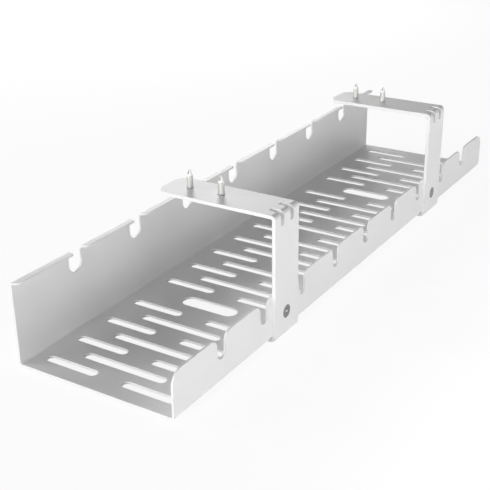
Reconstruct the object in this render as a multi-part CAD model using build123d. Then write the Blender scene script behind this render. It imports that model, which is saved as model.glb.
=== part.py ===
from build123d import *
import os

os.makedirs("parts", exist_ok=True)

# Under-desk cable tray: a perforated sheet channel carried by two C shaped strap brackets.
# Millimetres. X runs along the tray, Y from the low front wall to the high back wall, Z is up.
# The part stands on the undersides of the bracket feet, which are at Z = 0.

# Tray sheet
tray_length = 500.0
tray_width = 120.0
sheet = 1.5
sheet_bend = 1.0
back_height = 58.6
front_height = 31.6
lip_width = 6.5

# Brackets
bracket_spacing = 250.0
strap_width = 30.0
strap = 2.5
bracket_height = 90.0
flange_length = 92.5
foot_length = 30.0
top_bend = 1.0
foot_bend = 0.8
flange_corner = 9.0
foot_corner = 3.0

# Gusset ribs pressed into the top bend
rib_pitch = 12.0
rib_reach = 9.3
rib_groove = 4.2
rib_web = 1.6
rib_round = 1.0

# Floor slots, with their long axis across the tray
slot_width = 7.0
slot_pitch = 30.0
short_slot = 40.0
short_slot_offset = 30.0
short_start = 20.0
short_rows = 4
long_slot = 63.0
long_start = 35.0
long_rows = 3
access_width = 13.0
access_length = 44.0
slot_shift = -0.75

# Cable notches in the front wall
front_notches = 9
front_pitch = 50.0
front_notch_width = 9.0
front_notch_depth = 15.8
front_notch_flare = 6.0
front_end_round = 10.0

# Cable notches in the back wall
back_notches = 7
back_pitch = 64.0
back_notch_width = 12.8
back_notch_depth = 16.6
lip_near_round = 4.5
lip_far_round = 1.0

# Countersunk screw and nut that join each bracket leg to the front wall
leg_screw_d = 5.0
leg_screw_length = 10.0
leg_screw_height = 17.2
leg_head_d = 9.3
leg_head_sink = 0.1
leg_sink_d = 9.6
leg_hole_d = 5.5
nut_across_flats = 8.0
nut_height = 4.0
thread_gap = 0.05

# Pointed screws that stand up through each flange
desk_screw_d = 4.5
desk_neck_d = 3.6
desk_screw_length = 15.5
desk_screw_point = 4.5
desk_tip_d = 1.2
desk_screw_pitch = 25.0
desk_head_d = 8.5
desk_head_height = 3.0
desk_hole_d = 5.2
desk_screw_setback = 49.75

# Positions that follow from the sizes above
front_face = -(strap + tray_width) / 2
tray_front = front_face + strap
tray_back = tray_front + tray_width
tray_middle = (tray_front + tray_back) / 2
tray_floor = strap
floor_top = tray_floor + sheet
front_top = tray_floor + front_height
back_top = tray_floor + back_height
slot_middle = tray_middle + slot_shift
bracket_x = (-bracket_spacing / 2, bracket_spacing / 2)
desk_screw_y = (front_face + desk_screw_setback, front_face + desk_screw_setback + desk_screw_pitch)
flange_underside = bracket_height - strap


def bent_strip(points, thickness, radii, width):
    # points follow the middle of the sheet in the Y Z plane, radii are those of the middle line
    line = FilletPolyline(*points, radius=radii)
    section = trace(line, line_width=thickness)
    return extrude(Plane.YZ * section, amount=width / 2, both=True)


def cut_through(sketch, plane, depth):
    return extrude(plane * sketch, amount=depth, both=True)


def edges_at(shape, direction, axis, place):
    # the edges that run along one axis and lie at one place on another
    margin = 0.01
    return shape.edges().filter_by(direction).filter_by_position(axis, place - margin, place + margin)


def notch_outline(x, top, width, depth, flare):
    # a U that opens upwards, with rounded shoulders where it meets the edge of the wall
    half = width / 2
    low = top - depth
    arc_z = low + half
    above = top + sheet
    u_bottom = ThreePointArc((x - half, arc_z), (x, low), (x + half, arc_z))
    if flare == 0:
        rim = Polyline((x + half, arc_z), (x + half, above), (x - half, above), (x - half, arc_z))
        return make_face([u_bottom, rim])
    right = Line((x + half, arc_z), (x + half, top - flare))
    right_arc = RadiusArc((x + half, top - flare), (x + half + flare, top), flare)
    rim = Polyline((x + half + flare, top), (x + half + flare, above),
                   (x - half - flare, above), (x - half - flare, top))
    left_arc = RadiusArc((x - half - flare, top), (x - half, top - flare), flare)
    left = Line((x - half, top - flare), (x - half, arc_z))
    return make_face([u_bottom, right, right_arc, rim, left_arc, left])


def floor_slots():
    slots = []
    short_x = []
    long_x = [0.0]
    for middle in bracket_x:
        for i in range(short_rows):
            row = short_start + i * slot_pitch
            short_x += [middle - row, middle + row]
        for i in range(long_rows):
            row = long_start + i * slot_pitch
            long_x += [middle - row, middle + row]
    for x in short_x:
        for y in (slot_middle - short_slot_offset, slot_middle + short_slot_offset):
            slots.append(Pos(x, y) * SlotOverall(short_slot, slot_width, rotation=90))
    for x in long_x:
        slots.append(Pos(x, slot_middle) * SlotOverall(long_slot, slot_width, rotation=90))
    for x in bracket_x:
        slots.append(Pos(x, slot_middle) * SlotOverall(access_length, access_width, rotation=90))
    return Sketch(children=slots)


def make_tray():
    mid = sheet / 2
    bend = sheet_bend + mid
    points = [
        (tray_front + mid, front_top),
        (tray_front + mid, tray_floor + mid),
        (tray_back - mid, tray_floor + mid),
        (tray_back - mid, back_top - mid),
        (tray_back - lip_width, back_top - mid),
    ]
    tray = bent_strip(points, sheet, bend, tray_length)
    tray -= cut_through(floor_slots(), Plane.XY.offset(tray_floor + mid), sheet)
    first = -(front_notches - 1) / 2 * front_pitch
    for i in range(front_notches):
        outline = notch_outline(first + i * front_pitch, front_top, front_notch_width,
                                front_notch_depth, front_notch_flare)
        tray -= cut_through(outline, Plane.XZ.offset(-tray_front - mid), sheet)
    first = -(back_notches - 1) / 2 * back_pitch
    for i in range(back_notches):
        outline = notch_outline(first + i * back_pitch, back_top, back_notch_width,
                                back_notch_depth, 0)
        tray -= cut_through(outline, Plane.XZ.offset(-tray_back + lip_width / 2), lip_width)
    screw_hole = Rot(90, 0, 0) * Cylinder(leg_hole_d / 2, 3 * sheet)
    for x in bracket_x:
        tray -= Pos(x, tray_front + mid, leg_screw_height) * screw_hole
    # rounded upper corners at both ends of the front wall
    ends = edges_at(tray, Axis.Y, Axis.Z, front_top).sort_by(Axis.X)
    tray = fillet([ends[0], ends[-1]], front_end_round)
    # each run of lip has one rounded corner and one nearly square one
    lip = edges_at(tray, Axis.Z, Axis.Y, tray_back - lip_width).sort_by(Axis.X)
    tray = fillet(lip[0::2], lip_near_round)
    lip = edges_at(tray, Axis.Z, Axis.Y, tray_back - lip_width)
    tray = fillet(lip, lip_far_round)
    return tray


def rib_prism(corner, width, inset, reach):
    # right angled wedge across the bend, inset is how far its square corner lies inside the outer corner
    points = [(inset, -inset), (reach - inset, -inset), (inset, inset - reach), (inset, -inset)]
    wedge = extrude(Plane.YZ * make_face(Polyline(*points)), amount=width / 2, both=True)
    diagonal = wedge.edges().filter_by(Axis((0, 0, 0), (0, 1, 1)))
    wedge = fillet(diagonal, rib_round)
    return Pos(0, corner, bracket_height) * wedge


def make_bracket(x):
    mid = strap / 2
    points = [
        (front_face + flange_length, bracket_height - mid),
        (front_face + mid, bracket_height - mid),
        (front_face + mid, mid),
        (front_face + foot_length, mid),
    ]
    body = bent_strip(points, strap, [top_bend + mid, foot_bend + mid], strap_width)
    corners = body.edges().filter_by(Axis.Z).sort_by(Axis.Z)
    body = fillet(corners[-2:], flange_corner)
    corners = body.edges().filter_by(Axis.Z).filter_by_position(Axis.Z, 0, strap)
    body = fillet(corners, foot_corner)
    # the press pushes a groove into the outside of the bend and raises a bump on its inside
    bump_width = rib_groove + 2 * rib_web
    bump_reach = rib_reach + rib_web * 2 ** 0.5
    for side in (-rib_pitch / 2, rib_pitch / 2):
        body += Pos(side, 0, 0) * rib_prism(front_face, bump_width, strap / 2, bump_reach)
    for side in (-rib_pitch / 2, rib_pitch / 2):
        body -= Pos(side, 0, 0) * rib_prism(front_face, rib_groove, -strap / 2, rib_reach)
    for y in desk_screw_y:
        body -= Pos(0, y, bracket_height) * Cylinder(desk_hole_d / 2, 3 * strap)
    sink_depth = (leg_sink_d - leg_hole_d) / 2
    leg_hole = Cylinder(leg_hole_d / 2, 3 * strap)
    leg_sink = Pos(0, 0, -sink_depth / 2) * Cone(leg_hole_d / 2, leg_sink_d / 2, sink_depth)
    body -= Pos(0, front_face, leg_screw_height) * Rot(90, 0, 0) * (leg_hole + leg_sink)
    return Pos(x, 0, 0) * body


def make_leg_screw(x):
    r = leg_screw_d / 2
    head = leg_head_d / 2
    outline = Polyline((0, 0), (head, 0), (r, r - head), (r, -leg_screw_length),
                       (0, -leg_screw_length), (0, 0))
    screw = revolve(Plane.XZ * make_face(outline), Axis.Z)
    return Pos(x, front_face + leg_head_sink, leg_screw_height) * Rot(90, 0, 0) * screw


def make_leg_nut(x):
    blank = extrude(RegularPolygon(nut_across_flats / 2, 6, major_radius=False), amount=nut_height)
    blank -= Cylinder(leg_screw_d / 2 + thread_gap, 3 * nut_height)
    return Pos(x, tray_front + sheet, leg_screw_height) * Rot(-90, 0, 0) * blank


def make_desk_screw(x, y):
    # plain neck inside the flange, full diameter above it, then a blunt point
    neck = desk_neck_d / 2
    r = desk_screw_d / 2
    tip = desk_tip_d / 2
    head = desk_head_d / 2
    shoulder = desk_screw_length - desk_screw_point
    outline = Polyline((0, -desk_head_height), (head, -desk_head_height), (head, 0), (neck, 0),
                       (neck, strap), (r, strap), (r, shoulder), (tip, desk_screw_length),
                       (0, desk_screw_length), (0, -desk_head_height))
    screw = revolve(Plane.XZ * make_face(outline), Axis.Z)
    return Pos(x, y, flange_underside) * screw


pieces = {"cable_tray": make_tray()}
for side, x in zip(("left", "right"), bracket_x):
    pieces["bracket_" + side] = make_bracket(x)
    pieces["leg_screw_" + side] = make_leg_screw(x)
    pieces["leg_nut_" + side] = make_leg_nut(x)
    for place, y in zip(("front", "back"), desk_screw_y):
        pieces["desk_screw_" + side + "_" + place] = make_desk_screw(x, y)

for node, shape in pieces.items():
    shape.label = node
    export_step(shape, "parts/" + node + ".step")
    box = shape.bounding_box()
    print(node, len(shape.solids()), round(shape.volume, 1), shape.is_valid,
          [round(v, 2) for v in (*box.min, *box.max)])
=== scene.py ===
# %% [markdown]
# Under-desk cable tray
#
# A bent and punched sheet channel hangs from two strap brackets, and small screws hold the lot together
# and to the desk. Everything is in metres and in the frame that the solids were built in, so each finish
# and each screw goes where the solids say, with nothing placed by eye.

import math

import bmesh
import bpy
from mathutils import Matrix, Vector


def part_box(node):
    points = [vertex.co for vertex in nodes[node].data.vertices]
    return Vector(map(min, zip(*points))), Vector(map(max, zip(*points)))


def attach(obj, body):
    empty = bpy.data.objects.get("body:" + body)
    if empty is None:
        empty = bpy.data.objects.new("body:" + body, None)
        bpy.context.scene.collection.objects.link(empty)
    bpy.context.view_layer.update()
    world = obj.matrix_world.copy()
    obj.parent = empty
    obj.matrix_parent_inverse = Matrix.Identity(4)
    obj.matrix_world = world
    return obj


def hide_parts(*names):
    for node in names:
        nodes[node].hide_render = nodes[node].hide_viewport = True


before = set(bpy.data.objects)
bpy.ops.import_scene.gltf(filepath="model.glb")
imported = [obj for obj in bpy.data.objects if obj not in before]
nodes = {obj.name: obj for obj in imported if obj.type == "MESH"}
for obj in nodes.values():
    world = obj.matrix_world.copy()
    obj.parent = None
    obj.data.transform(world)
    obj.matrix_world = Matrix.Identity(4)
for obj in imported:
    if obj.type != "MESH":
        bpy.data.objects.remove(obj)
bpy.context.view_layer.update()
scene = bpy.context.scene
MM = 0.001
print("nodes:", sorted(nodes))

# %% [markdown]
# The camera stands beyond the left end, in front of the tray and above it, and looks down along it. Its
# place and lens were worked out once from the corners of the tray, so the walls run to the same edges as
# in the picture. The three axes below are its right, its up and the way its back faces.

# %% Camera
camera_place = Vector((-0.62806, -0.34589, 0.32506))
camera_right = Vector((0.53035, -0.84768, -0.01311))
camera_up = Vector((0.35752, 0.20961, 0.91008))
camera_back = camera_right.cross(camera_up)

camera_data = bpy.data.cameras.new("camera")
camera_data.sensor_width = 36.0
camera_data.lens = 72.57
camera_data.shift_x = 0.00572
camera_data.shift_y = 0.00908
camera = bpy.data.objects.new("camera", camera_data)
camera_turn = Matrix((camera_right, camera_up, camera_back)).transposed()
camera.matrix_world = Matrix.Translation(camera_place) @ camera_turn.to_4x4()
scene.collection.objects.link(camera)
scene.camera = camera
print("camera height in mm:", round(camera.matrix_world.translation.z / MM))

# %% [markdown]
# Colours are written as the hex values that a picture shows and turned to linear light in one place. One
# small function adds a node with its settings, its socket values and its links, so that each finish below
# reads as a list of what it is made of. Patterns follow the object's own coordinates, which are in metres,
# so the scale of each one is worked out from a size in millimetres.

# %% Colour and node helpers
def linear(hex_colour):
    """An sRGB hex colour such as #EDEDED as linear red, green, blue and alpha."""
    channels = [int(hex_colour[i:i + 2], 16) / 255 for i in (1, 3, 5)]
    return tuple(c / 12.92 if c <= 0.04045 else ((c + 0.055) / 1.055) ** 2.4 for c in channels) + (1.0,)


def add_node(tree, kind, sockets=None, **settings):
    """Adds one node. Sockets take a number, a colour or another node's output."""
    node = tree.nodes.new(kind)
    for name, value in settings.items():
        setattr(node, name, value)
    for name, value in (sockets or {}).items():
        if isinstance(value, bpy.types.NodeSocket):
            tree.links.new(value, node.inputs[name])
        else:
            node.inputs[name].default_value = value
    return node


def new_material(name):
    """A material with an empty tree."""
    material = bpy.data.materials.new(name)
    material.use_nodes = True
    material.node_tree.nodes.clear()
    return material, material.node_tree


def per_mm(size_mm):
    """A noise scale whose features are about this many millimetres apart."""
    return 1 / (size_mm * MM)


print("#EDEDED in linear light:", [round(c, 3) for c in linear("#EDEDED")])

# %% [markdown]
# Powder coat on sheet steel. The powder melts and flows in an oven, so it leaves a soft orange peel about
# two millimetres across and a much finer grain on top, and it rounds every punched edge a little. It is a
# polymer, so it takes a polymer's index of refraction and no metal. The peel is only microns deep and is
# made with bump. The rounded edges come from a bevel node that both bumps start from. Its white drifts
# very slightly from place to place, and the roughness follows the grain.

# %% Powder coat
drift_mm = 45
peel_mm = 2.2
grain_mm = 0.4
peel_height_mm = 0.02
grain_height_mm = 0.01
edge_radius_mm = 0.3
polymer_ior = 1.5


def powder_coat(name, colour_low, colour_high, roughness_low, roughness_high):
    """A powder coat between two whites and two roughnesses."""
    material, tree = new_material(name)
    coordinates = add_node(tree, "ShaderNodeTexCoord").outputs["Object"]
    drift = add_node(tree, "ShaderNodeTexNoise",
                     {"Vector": coordinates, "Scale": per_mm(drift_mm), "Detail": 2.0})
    tint = add_node(tree, "ShaderNodeValToRGB", {"Fac": drift.outputs["Fac"]})
    tint.color_ramp.elements[0].position = 0.35
    tint.color_ramp.elements[0].color = linear(colour_low)
    tint.color_ramp.elements[1].position = 0.65
    tint.color_ramp.elements[1].color = linear(colour_high)
    peel = add_node(tree, "ShaderNodeTexNoise",
                    {"Vector": coordinates, "Scale": per_mm(peel_mm), "Detail": 1.5, "Roughness": 0.4})
    grain = add_node(tree, "ShaderNodeTexNoise",
                     {"Vector": coordinates, "Scale": per_mm(grain_mm), "Detail": 2.0, "Roughness": 0.5})
    gloss = add_node(tree, "ShaderNodeMapRange",
                     {"Value": grain.outputs["Fac"], "From Min": 0.3, "From Max": 0.7,
                      "To Min": roughness_low, "To Max": roughness_high})
    edge = add_node(tree, "ShaderNodeBevel", {"Radius": edge_radius_mm * MM}, samples=4)
    waves = add_node(tree, "ShaderNodeBump",
                     {"Height": peel.outputs["Fac"], "Strength": 0.25, "Distance": peel_height_mm * MM,
                      "Normal": edge.outputs["Normal"]})
    texture = add_node(tree, "ShaderNodeBump",
                       {"Height": grain.outputs["Fac"], "Strength": 0.2, "Distance": grain_height_mm * MM,
                        "Normal": waves.outputs["Normal"]})
    paint = add_node(tree, "ShaderNodeBsdfPrincipled",
                     {"Base Color": tint.outputs["Color"], "Roughness": gloss.outputs["Result"],
                      "IOR": polymer_ior, "Normal": texture.outputs["Normal"]})
    add_node(tree, "ShaderNodeOutputMaterial", {"Surface": paint.outputs["BSDF"]})
    return material


tray_coat = powder_coat("white_powder_coat_tray", "#ECECEC", "#EFEFEF", 0.33, 0.43)
bracket_coat = powder_coat("white_powder_coat_bracket", "#ECECEC", "#EFEFEF", 0.33, 0.43)
coated = {"cable_tray": tray_coat, "bracket_left": bracket_coat, "bracket_right": bracket_coat}
for node_name, coat in coated.items():
    nodes[node_name].data.materials.clear()
    nodes[node_name].data.materials.append(coat)
print("powder coat on:", ", ".join(coated))

# %% [markdown]
# Two finishes on steel screws. The desk screws are plated with zinc in a barrel, which tumbles them
# satin, so each has a soft bright band down the middle and pale grey sides. The countersunk screws and
# their nuts have black oxide, a dark grey skin that is smoother but a little blotchy. Both are metals, so
# their colour is the colour of their reflection, and the refraction index stays at its default. One
# function serves both, because only the two colours, the roughness and the size of the blotches differ.
# The grain of the skin is drawn at 0.15 mm, coarser than the real one, and still shows only close up.

# %% Steel finishes
skin_mm = 0.15
skin_height_mm = 0.005


def finished_steel(name, colour_low, colour_high, roughness_low, roughness_high, blotch_mm):
    """A finish on steel whose colour and roughness change together from blotch to blotch."""
    material, tree = new_material(name)
    coordinates = add_node(tree, "ShaderNodeTexCoord").outputs["Object"]
    blotch = add_node(tree, "ShaderNodeTexNoise",
                      {"Vector": coordinates, "Scale": per_mm(blotch_mm), "Detail": 3.0})
    tint = add_node(tree, "ShaderNodeValToRGB", {"Fac": blotch.outputs["Fac"]})
    tint.color_ramp.elements[0].position = 0.35
    tint.color_ramp.elements[0].color = linear(colour_low)
    tint.color_ramp.elements[1].position = 0.65
    tint.color_ramp.elements[1].color = linear(colour_high)
    gloss = add_node(tree, "ShaderNodeMapRange",
                     {"Value": blotch.outputs["Fac"], "From Min": 0.3, "From Max": 0.7,
                      "To Min": roughness_low, "To Max": roughness_high})
    skin = add_node(tree, "ShaderNodeTexNoise",
                    {"Vector": coordinates, "Scale": per_mm(skin_mm), "Detail": 2.0})
    bump = add_node(tree, "ShaderNodeBump",
                    {"Height": skin.outputs["Fac"], "Strength": 0.1, "Distance": skin_height_mm * MM})
    metal = add_node(tree, "ShaderNodeBsdfPrincipled",
                     {"Base Color": tint.outputs["Color"], "Metallic": 1.0,
                      "Roughness": gloss.outputs["Result"], "Normal": bump.outputs["Normal"]})
    add_node(tree, "ShaderNodeOutputMaterial", {"Surface": metal.outputs["BSDF"]})
    return material


zinc_plate = finished_steel("satin_zinc_plated_steel", "#C0BFBD", "#CAC9C7", 0.46, 0.56, blotch_mm=1.5)
black_oxide = finished_steel("black_oxide_steel", "#7C7C7D", "#868686", 0.32, 0.45, blotch_mm=0.8)
print("steels:", zinc_plate.name, black_oxide.name)

# %% [markdown]
# Round hardware is turned, so here it is spun: a few profile points of radius and height make a line, and
# one full spin about Z makes the body. A thread is spun too, from a small closed triangle that climbs one
# pitch each turn. The foot of its ridge is sunk a little into the shank, so that no gap shows between
# them, and is a little narrower than the pitch, so that a strip of the root shows between the turns. The
# piece is built upright in millimetres, and one matrix then puts it in its place.

# %% Turning helpers
weld_distance = 1e-4
ring_tolerance = 1e-3
ridge_sunk_share = 0.2
ridge_half_in_pitches = 0.45
sharp_angle = math.radians(32)


def turned(bm, profile, steps):
    """Spins a line of (radius, height) points once round Z."""
    line = [bm.verts.new((radius, 0, height)) for radius, height in profile]
    edges = [bm.edges.new(pair) for pair in zip(line, line[1:])]
    bmesh.ops.spin(bm, geom=line + edges, cent=(0, 0, 0), axis=(0, 0, 1), dvec=(0, 0, 0),
                   angle=math.tau, steps=steps, use_merge=True, use_duplicate=False)
    bmesh.ops.remove_doubles(bm, verts=bm.verts[:], dist=weld_distance)


def thread(bm, root, crest, pitch, start, end, steps):
    """Winds a closed triangular ridge up from start to end. It fades out over its first and last turn."""
    sunk = root - ridge_sunk_share * (crest - root)
    half = ridge_half_in_pitches * pitch
    corners = [bm.verts.new((sunk, 0, start - half)), bm.verts.new((crest, 0, start)),
               bm.verts.new((sunk, 0, start + half))]
    edges = [bm.edges.new(pair) for pair in zip(corners, corners[1:] + corners[:1])]
    old = set(bm.verts) - set(corners)
    turns = (end - start) / pitch
    total = round(turns * steps)
    bmesh.ops.spin(bm, geom=corners + edges, cent=(0, 0, 0), axis=(0, 0, 1),
                   dvec=(0, 0, (end - start) / total), angle=math.tau * turns, steps=total,
                   use_merge=False, use_duplicate=False)
    ridge = [vert for vert in bm.verts if vert not in old]
    bmesh.ops.holes_fill(bm, edges=[edge for edge in bm.edges if edge.is_boundary], sides=3)
    for vert in ridge:
        radius = math.hypot(vert.co.x, vert.co.y)
        fade = min(1.0, (vert.co.z - start + half) / pitch, (end + half - vert.co.z) / pitch)
        wanted = sunk + (radius - sunk) * max(fade, 0.0)
        vert.co.x *= wanted / radius
        vert.co.y *= wanted / radius
    return ridge


def hardware(name, bm, place, material, node_name):
    """Closes a piece: normals out, millimetres to metres, smooth where round, and in place of its node."""
    bmesh.ops.recalc_face_normals(bm, faces=bm.faces[:])
    bmesh.ops.transform(bm, matrix=place @ Matrix.Scale(MM, 4), verts=bm.verts[:])
    mesh = bpy.data.meshes.new(name)
    bm.to_mesh(mesh)
    bm.free()
    mesh.shade_smooth()
    mesh.set_sharp_from_angle(angle=sharp_angle)
    mesh.materials.append(material)
    piece = bpy.data.objects.new(name, mesh)
    scene.collection.objects.link(piece)
    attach(piece, "root")
    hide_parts(node_name)
    return piece


def along_leg_axis(node_name):
    """The matrix that lays an upright piece along a leg screw's axis, its foot where the node starts."""
    low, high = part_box(node_name)
    axis_x, axis_z = (low.x + high.x) / 2, (low.z + high.z) / 2
    return Matrix.Translation((axis_x, low.y, axis_z)) @ Matrix.Rotation(-math.pi / 2, 4, "X")


def to_hexagon(verts, across_flats):
    """Moves a ring of points in or out, along its radius, onto a hexagon."""
    for vert in verts:
        angle = math.atan2(vert.co.y, vert.co.x) % (math.pi / 3) - math.pi / 6
        radius = across_flats / 2 / math.cos(angle)
        flat = Vector((vert.co.x, vert.co.y, 0)).normalized()
        vert.co.x, vert.co.y = flat.x * radius, flat.y * radius


def ring_at(bm, radius, height):
    """The points of a turned body that lie at one radius and height of its profile."""
    return [vert for vert in bm.verts
            if abs(math.hypot(vert.co.x, vert.co.y) - radius) < ring_tolerance
            and abs(vert.co.z - height) < ring_tolerance]


print("smooth up to", round(math.degrees(sharp_angle)), "degrees between faces")

# %% [markdown]
# Desk screws. Each stands head down through its flange with the point up, ready for the underside of the
# desk. The solid says where the screw stands and how high the point reaches. Heights are in millimetres
# above the underside of the flange, where the head ends. The shank is nearly smooth in the picture, so the
# thread is fine and shallow, and it runs out on the blunt point. A short notch down one side of the point
# cuts its own way into wood, and the domed head has a cross recess. Both are cut with one Boolean, since
# the turned body is closed, and the cut is applied so that the mesh is final.

# %% Desk screws
head_height = 3.0
head_radius = 4.25
neck_radius = 1.8
flange_sheet = 2.5
crest_radius = 2.25
root_radius = 2.15
thread_pitch = 1.0
thread_start = 3.4
thread_end = 14.4
point_start = 11.0
screw_length = 15.5
tip_radius = 0.6
recess_depth = 1.6
recess_across = 4.4
recess_width = 1.1
recess_taper = (0.45, 0.55, 1.0)
flute_size = (1.6, 0.9, 2.4)
flute_from_axis = -1.3
flute_height = 13.6


def point_share(height):
    """How far the shank has narrowed at this height, from 1 on the shank to the tip's share."""
    along = min(max((height - point_start) / (screw_length - point_start), 0.0), 1.0)
    return 1.0 + along * (tip_radius / crest_radius - 1.0)


def corners_of(piece):
    """Lowest and highest corner of a new piece."""
    places = [vert.co for vert in piece.data.vertices]
    return (Vector([min(p[i] for p in places) for i in range(3)]),
            Vector([max(p[i] for p in places) for i in range(3)]))


def cut_recesses(piece):
    """Cuts a cross recess with four tapered wings into the head, and the notch beside the point."""
    low, high = corners_of(piece)
    middle = (low + high) / 2
    cutter = bmesh.new()
    for turn in (0.0, math.pi / 2):
        made = bmesh.ops.create_cube(cutter, size=1.0)["verts"]
        bmesh.ops.scale(cutter, vec=(recess_across, recess_width, recess_depth * 2), verts=made)
        deep_end = [vert for vert in made if vert.co.z > 0]
        bmesh.ops.scale(cutter, vec=recess_taper, verts=deep_end)
        bmesh.ops.rotate(cutter, cent=(0, 0, 0), matrix=Matrix.Rotation(turn, 3, "Z"), verts=made)
    flute = bmesh.ops.create_cube(cutter, size=1.0)["verts"]
    bmesh.ops.scale(cutter, vec=flute_size, verts=flute)
    bmesh.ops.translate(cutter, vec=(flute_from_axis, 0.0, head_height + flute_height), verts=flute)
    place = Matrix.Translation((middle.x, middle.y, low.z)) @ Matrix.Scale(MM, 4)
    bmesh.ops.transform(cutter, matrix=place, verts=cutter.verts[:])
    mesh = bpy.data.meshes.new("cross_cutter")
    cutter.to_mesh(mesh)
    cutter.free()
    tool = bpy.data.objects.new("cross_cutter", mesh)
    scene.collection.objects.link(tool)
    cut = piece.modifiers.new("recess", "BOOLEAN")
    cut.operation = "DIFFERENCE"
    cut.solver = "EXACT"
    cut.use_self = True
    cut.object = tool
    bpy.context.view_layer.update()
    shaped = bpy.data.meshes.new_from_object(piece.evaluated_get(bpy.context.evaluated_depsgraph_get()))
    piece.modifiers.clear()
    piece.data = shaped
    bpy.data.objects.remove(tool)


def desk_screw(node_name):
    """One desk screw: a turned body with a thread, then the recess and the notch cut out."""
    low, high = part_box(node_name)
    axis_x, axis_y = (low.x + high.x) / 2, (low.y + high.y) / 2
    bm = bmesh.new()
    dome = [(0.0, -head_height), (1.3, -2.95), (2.5, -2.7), (3.4, -2.2), (4.0, -1.4), (head_radius, -0.5)]
    under = [(head_radius, -0.2), (4.1, 0.0), (neck_radius + 0.4, 0.0), (neck_radius, 0.4)]
    shank = [(neck_radius, flange_sheet), (root_radius, flange_sheet + 0.3), (root_radius, point_start)]
    point = [(root_radius * point_share(h), h) for h in (12.5, 14.0, 15.0)]
    tip = [(0.55, 15.3), (0.3, 15.45), (0.0, screw_length)]
    turned(bm, dome + under + shank + point + tip, steps=40)
    ridge = thread(bm, root_radius, crest_radius, thread_pitch, thread_start, thread_end, steps=36)
    for vert in ridge:
        share = point_share(vert.co.z)
        vert.co.x *= share
        vert.co.y *= share
    place = Matrix.Translation((axis_x, axis_y, high.z - screw_length * MM))
    piece = hardware(node_name + "_turned", bm, place, zinc_plate, node_name)
    cut_recesses(piece)
    return piece


desk_screws = [desk_screw(name) for name in sorted(nodes) if name.startswith("desk_screw")]
print("desk screws:", len(desk_screws), "triangles each:",
      sum(len(face.vertices) - 2 for face in desk_screws[0].data.polygons))

# %% [markdown]
# Leg screws. A countersunk screw with a hexagon socket holds each leg to the front wall. The head is a
# plain cone under a flat face, and the socket is the middle rings of the same turned body, pressed from
# circles into hexagons. The socket is pressed into a drilled hole, so its floor is the drill's cone,
# which catches the light as a pale dot. The thread runs on past the nut, inside the tray. Heights are in
# millimetres from the face of the head.

# %% Leg screws
leg_head_radius = 4.65
leg_head_depth = 2.2
leg_shank_radius = 2.5
leg_root_radius = 2.05
leg_end_radius = 1.75
leg_screw_length = 10.0
leg_pitch = 0.8
leg_thread_start = 3.4
leg_thread_end = 9.6
socket_across = 3.0
socket_chamfer_across = 3.2
socket_chamfer_depth = 0.15
socket_wall_depth = 0.35
socket_depth = 1.5


def leg_screw(node_name):
    """One countersunk screw: a turned body with a thread and a hexagon socket."""
    bm = bmesh.new()
    socket = [(0.0, socket_depth), (socket_across / 2, socket_wall_depth),
              (socket_across / 2, socket_chamfer_depth), (socket_chamfer_across / 2, 0.0)]
    head = [(leg_head_radius - 0.15, 0.0), (leg_head_radius, 0.12), (leg_shank_radius, leg_head_depth)]
    shank = [(leg_root_radius, 2.8), (leg_root_radius, leg_screw_length - 0.3),
             (leg_end_radius, leg_screw_length), (0.0, leg_screw_length)]
    turned(bm, socket + head + shank, steps=48)
    for radius, height in socket[1:]:
        to_hexagon(ring_at(bm, radius, height), 2 * radius)
    thread(bm, leg_root_radius, leg_shank_radius, leg_pitch, leg_thread_start, leg_thread_end, steps=36)
    place = along_leg_axis(node_name)
    return hardware(node_name + "_turned", bm, place, black_oxide, node_name)


leg_screws = [leg_screw(name) for name in sorted(nodes) if name.startswith("leg_screw")]
print("leg screws:", len(leg_screws))

# %% [markdown]
# Nuts. A hexagon nut is cut from bar and then chamfered in a lathe, so its corners are round arcs at both
# ends. Here the outer rings of a turned body are pressed to the hexagon, and each of their points is then
# set down from the end by the slope of the chamfer times how far it stands outside the chamfer's circle,
# which leaves those arcs.

# %% Nuts
nut_across = 8.0
nut_height = 4.0
nut_bore = 2.55
bore_chamfer = 0.35
bore_chamfer_height = 0.45
chamfer_radius = 3.95
chamfer_slope = math.tan(math.radians(30))
corner_height = 0.1


def leg_nut(node_name):
    """One nut: a turned ring whose outside is pressed to a hexagon and chamfered."""
    bm = bmesh.new()
    flat_radius = nut_across / 2
    ring = [(nut_bore, bore_chamfer_height), (nut_bore + bore_chamfer, 0.0), (chamfer_radius, 0.0),
            (flat_radius, corner_height), (flat_radius, nut_height - corner_height),
            (chamfer_radius, nut_height), (nut_bore + bore_chamfer, nut_height),
            (nut_bore, nut_height - bore_chamfer_height), (nut_bore, bore_chamfer_height)]
    turned(bm, ring, steps=72)
    for height, end, inward in ((corner_height, 0.0, 1), (nut_height - corner_height, nut_height, -1)):
        corner_ring = ring_at(bm, flat_radius, height)
        to_hexagon(corner_ring, nut_across)
        for vert in corner_ring:
            outside = math.hypot(vert.co.x, vert.co.y) - chamfer_radius
            vert.co.z = end + inward * outside * chamfer_slope
    place = along_leg_axis(node_name)
    return hardware(node_name + "_turned", bm, place, black_oxide, node_name)


leg_nuts = [leg_nut(name) for name in sorted(nodes) if name.startswith("leg_nut")]
print("nuts:", len(leg_nuts))

# %% [markdown]
# The floor and backdrop are plain and pale. The floor is a real surface that catches the shadow, mixed
# with white for the rays that see it directly or in a reflection, so it stays pale between the slots.
# The world is white to the same rays and black to all others, so only the lamps light the tray.

# %% Floor and backdrop
white = (1.0, 1.0, 1.0, 1.0)


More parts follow.
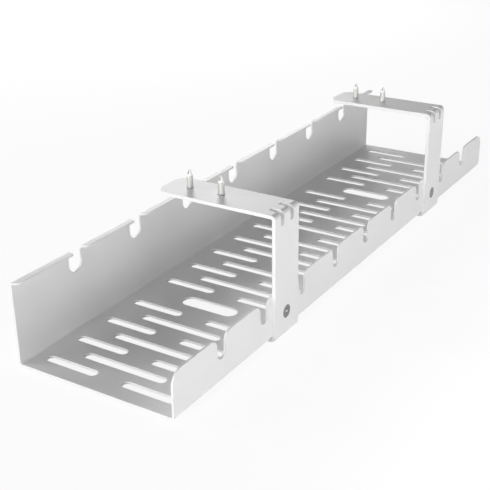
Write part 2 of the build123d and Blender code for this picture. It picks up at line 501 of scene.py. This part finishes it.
def seen_share(tree, share):
    """Share for rays that come from the camera, a mirror or glass, and 0 for the rest."""
    path = add_node(tree, "ShaderNodeLightPath").outputs
    seen = path["Is Camera Ray"]
    for kind in ("Is Glossy Ray", "Is Transmission Ray"):
        seen = add_node(tree, "ShaderNodeMath", {0: seen, 1: path[kind]}, operation="MAXIMUM").outputs[0]
    return add_node(tree, "ShaderNodeMath", {0: seen, 1: share}, operation="MULTIPLY").outputs[0]


def pale_floor(size, white_share, glow):
    """A square floor at height 0 that is partly white to the rays that see it."""
    material, tree = new_material("pale_floor")
    matt = add_node(tree, "ShaderNodeBsdfDiffuse", {"Color": linear("#EDEDED")})
    bright = add_node(tree, "ShaderNodeEmission", {"Color": white, "Strength": glow})
    mixed = add_node(tree, "ShaderNodeMixShader",
                     {0: seen_share(tree, white_share), 1: matt.outputs[0], 2: bright.outputs[0]})
    add_node(tree, "ShaderNodeOutputMaterial", {"Surface": mixed.outputs[0]})
    bm = bmesh.new()
    bmesh.ops.create_grid(bm, x_segments=1, y_segments=1, size=size / 2)
    mesh = bpy.data.meshes.new("floor")
    bm.to_mesh(mesh)
    bm.free()
    mesh.materials.append(material)
    floor = bpy.data.objects.new("floor", mesh)
    scene.collection.objects.link(floor)


def pale_world():
    """A backdrop that is white to the rays that see it and gives no light to the rest."""
    world = bpy.data.worlds.new("backdrop")
    world.use_nodes = True
    scene.world = world
    tree = world.node_tree
    tree.nodes.clear()
    dark = add_node(tree, "ShaderNodeBackground", {"Color": white, "Strength": 0.0})
    bright = add_node(tree, "ShaderNodeBackground", {"Color": white, "Strength": 1.0})
    mixed = add_node(tree, "ShaderNodeMixShader",
                     {0: seen_share(tree, 1.0), 1: dark.outputs[0], 2: bright.outputs[0]})
    add_node(tree, "ShaderNodeOutputWorld", {"Surface": mixed.outputs[0]})


pale_floor(size=12.0, white_share=0.82, glow=1.09)
pale_world()
print("floor and backdrop ready")

# %% [markdown]
# The light is soft and low, as on a table with white cards round it. A strip and two wide boxes in front
# light the front wall, with one more towards its near end. One box far off beyond the near end shines
# along the tray at a low angle, onto the slots' end walls and the near part of the back wall, and because
# it is far, the far slots get nearly as much as the near ones. Three boxes behind the tray glance off the
# flanges, the lip and the floor. The floor of the tray lies between its walls, so it stays a middle grey.
# The powers started from a fit, in which pictures with one lamp each were added up in the shares that
# came nearest to the photograph, and were then adjusted and rounded.

# %% Lamps
middle_of_tray = Vector((0, 0, 0.04))


def soft_box(name, azimuth, distance, height, width, tall, watts):
    """A rectangular lamp that faces the middle of the tray. Azimuth 0 is +X and 90 is +Y."""
    data = bpy.data.lights.new(name, "AREA")
    data.shape = "RECTANGLE"
    data.size = width
    data.size_y = tall
    data.energy = watts
    lamp = bpy.data.objects.new(name, data)
    scene.collection.objects.link(lamp)
    angle = math.radians(azimuth)
    lamp.location = (distance * math.cos(angle), distance * math.sin(angle), height)
    lamp.rotation_euler = (middle_of_tray - lamp.location).to_track_quat("-Z", "Y").to_euler()
    lamp.visible_camera = False


soft_box("front_strip", azimuth=270, distance=0.25, height=0.03, width=1.0, tall=0.06, watts=0.37)
soft_box("front_low", azimuth=270, distance=1.0, height=0.3, width=1.5, tall=0.4, watts=1.35)
soft_box("front_high", azimuth=270, distance=1.0, height=0.8, width=1.5, tall=0.4, watts=0.45)
soft_box("front_left", azimuth=240, distance=0.8, height=0.1, width=0.8, tall=0.2, watts=1.5)
soft_box("near_end", azimuth=180, distance=3.0, height=0.56, width=0.9, tall=0.4, watts=47.0)
soft_box("back_left", azimuth=135, distance=1.2, height=0.5, width=0.8, tall=0.4, watts=3.5)
soft_box("back_high", azimuth=120, distance=3.0, height=1.13, width=0.9, tall=0.4, watts=19.0)
soft_box("back_right", azimuth=44, distance=1.2, height=0.43, width=0.8, tall=0.5, watts=6.2)
scene.view_settings.view_transform = "Standard"
